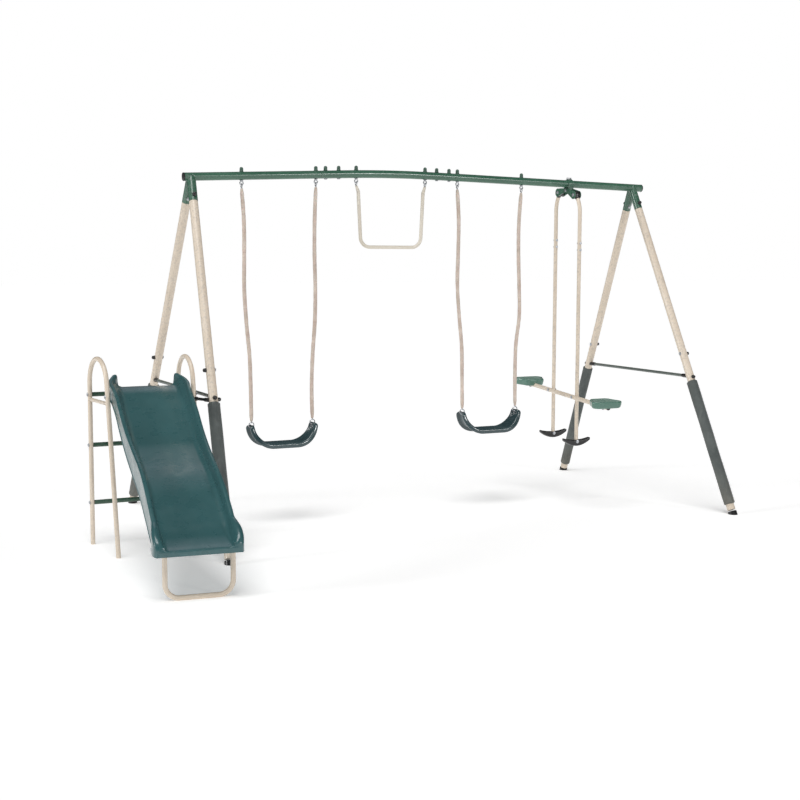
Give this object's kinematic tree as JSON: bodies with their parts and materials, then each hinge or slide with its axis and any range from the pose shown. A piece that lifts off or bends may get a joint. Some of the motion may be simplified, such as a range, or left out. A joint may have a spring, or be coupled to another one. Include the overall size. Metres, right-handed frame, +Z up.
{
  "type": "swing set",
  "caption": "Garden swing set: A-frame with arched top bar, two sling swings, trapeze bar, two-seat glider, and a slide with a side ladder.",
  "frame": {"origin": "bottom centre of the whole set's bounding box, on the ground", "axes": "+X along the top bar from the slide end to the glider end, -Y down the slide, +Z up"},
  "size_m": [3.4332, 2.383, 1.8838],
  "materials": {
    "green_paint": "gloss powder coat",
    "tan_paint": "satin powder coat",
    "pad_foam": "matt foam pad cover",
    "slate_paint": "satin powder coat",
    "black_plastic": "moulded, satin",
    "zinc_steel": "bright zinc plate",
    "chain_sleeve": "soft vinyl sleeve over chain",
    "seat_plastic": "moulded, glossy",
    "slide_plastic": "moulded, glossy",
    "glider_plastic": "moulded, satin gloss",
    "rung_paint": "satin powder coat"
  },
  "bodies": {
    "frame": {"bar_end_cap_left": "black_plastic", "bar_end_cap_right": "black_plastic", "crossbar_left": "slate_paint", "crossbar_right": "slate_paint", "eye_bolt_1": "zinc_steel", "eye_bolt_2": "zinc_steel", "eye_bolt_3": "zinc_steel", "eye_bolt_4": "zinc_steel", "eye_bolt_5": "zinc_steel", "eye_bolt_6": "zinc_steel", "foot_cap_front_left": "black_plastic", "foot_cap_front_right": "black_plastic", "foot_cap_rear_left": "black_plastic", "foot_cap_rear_right": "black_plastic", "glider_front_pivot_bolt": "zinc_steel", "glider_plate_left": "green_paint", "glider_plate_right": "green_paint", "glider_rear_pivot_bolt": "zinc_steel", "glider_saddle": "green_paint", "ladder_rung_lower": "rung_paint", "ladder_rung_middle": "rung_paint", "ladder_rung_top": "rung_paint", "ladder_side_left": "tan_paint", "ladder_side_right": "tan_paint", "ladder_tie": "black_plastic", "leg_pad_front_left": "pad_foam", "leg_pad_front_right": "pad_foam", "leg_pad_rear_left": "pad_foam", "leg_pad_rear_right": "pad_foam", "lower_leg_front_left": "tan_paint", "lower_leg_front_right": "tan_paint", "lower_leg_rear_left": "tan_paint", "lower_leg_rear_right": "tan_paint", "slide": "slide_plastic", "slide_base": "tan_paint", "top_bar_left": "green_paint", "top_bar_middle": "green_paint", "top_bar_right": "green_paint", "upper_leg_front_left": "tan_paint", "upper_leg_front_right": "tan_paint", "upper_leg_rear_left": "tan_paint", "upper_leg_rear_right": "tan_paint"},
    "swing_left": {"swing_left_chain_left": "chain_sleeve", "swing_left_chain_right": "chain_sleeve", "swing_left_seat": "seat_plastic"},
    "swing_right": {"swing_right_chain_left": "chain_sleeve", "swing_right_chain_right": "chain_sleeve", "swing_right_seat": "seat_plastic"},
    "trapeze": {"trapeze_bar": "tan_paint"},
    "glider_front_arm": {"glider_front_arm_footrest": "black_plastic", "glider_front_arm_lower_tube": "tan_paint", "glider_front_arm_upper_tube": "tan_paint"},
    "glider_rear_arm": {"glider_rear_arm_footrest": "black_plastic", "glider_rear_arm_lower_tube": "tan_paint", "glider_rear_arm_upper_tube": "tan_paint"},
    "glider_beam": {"glider_beam": "tan_paint", "glider_beam_bolt_front": "zinc_steel", "glider_beam_bolt_rear": "zinc_steel", "glider_seat_front": "glider_plastic", "glider_seat_rear": "glider_plastic"}
  },
  "joints": [
    {"name": "swing_left_hinge", "type": "hinge", "parent": "frame", "child": "swing_left", "pos_m": [-0.62199, 0.3047, 1.77132], "axis": [0.9991, 0, 0.042], "range_deg": [-55, 55]},
    {"name": "swing_right_hinge", "type": "hinge", "parent": "frame", "child": "swing_right", "pos_m": [0.62751, 0.3047, 1.78262], "axis": [0.9997, 0, -0.024], "range_deg": [-55, 55]},
    {"name": "trapeze_hinge", "type": "hinge", "parent": "frame", "child": "trapeze", "pos_m": [0.01901, 0.3047, 1.79078], "axis": [1, 0, 0.007], "range_deg": [-55, 55]},
    {"name": "glider_front_pivot", "type": "hinge", "parent": "frame", "child": "glider_front_arm", "pos_m": [1.14901, 0.2288, 1.75166], "axis": [1, 0, 0], "range_deg": [-15, 15]},
    {"name": "glider_rear_pivot", "type": "hinge", "parent": "frame", "child": "glider_rear_arm", "pos_m": [1.14901, 0.39363, 1.77132], "axis": [1, 0, 0], "range_deg": [-17, 17]},
    {"name": "glider_beam_pivot", "type": "hinge", "parent": "glider_front_arm", "child": "glider_beam", "pos_m": [1.14901, 0.18574, 0.59966], "axis": [1, 0, 0], "range_deg": [-24, 24]}
  ],
  "couplings": [
    {"joint": "glider_rear_pivot", "follows": "glider_front_pivot", "ratio": 0.99416},
    {"joint": "glider_beam_pivot", "follows": "glider_front_pivot", "ratio": -0.65785}
  ]
}
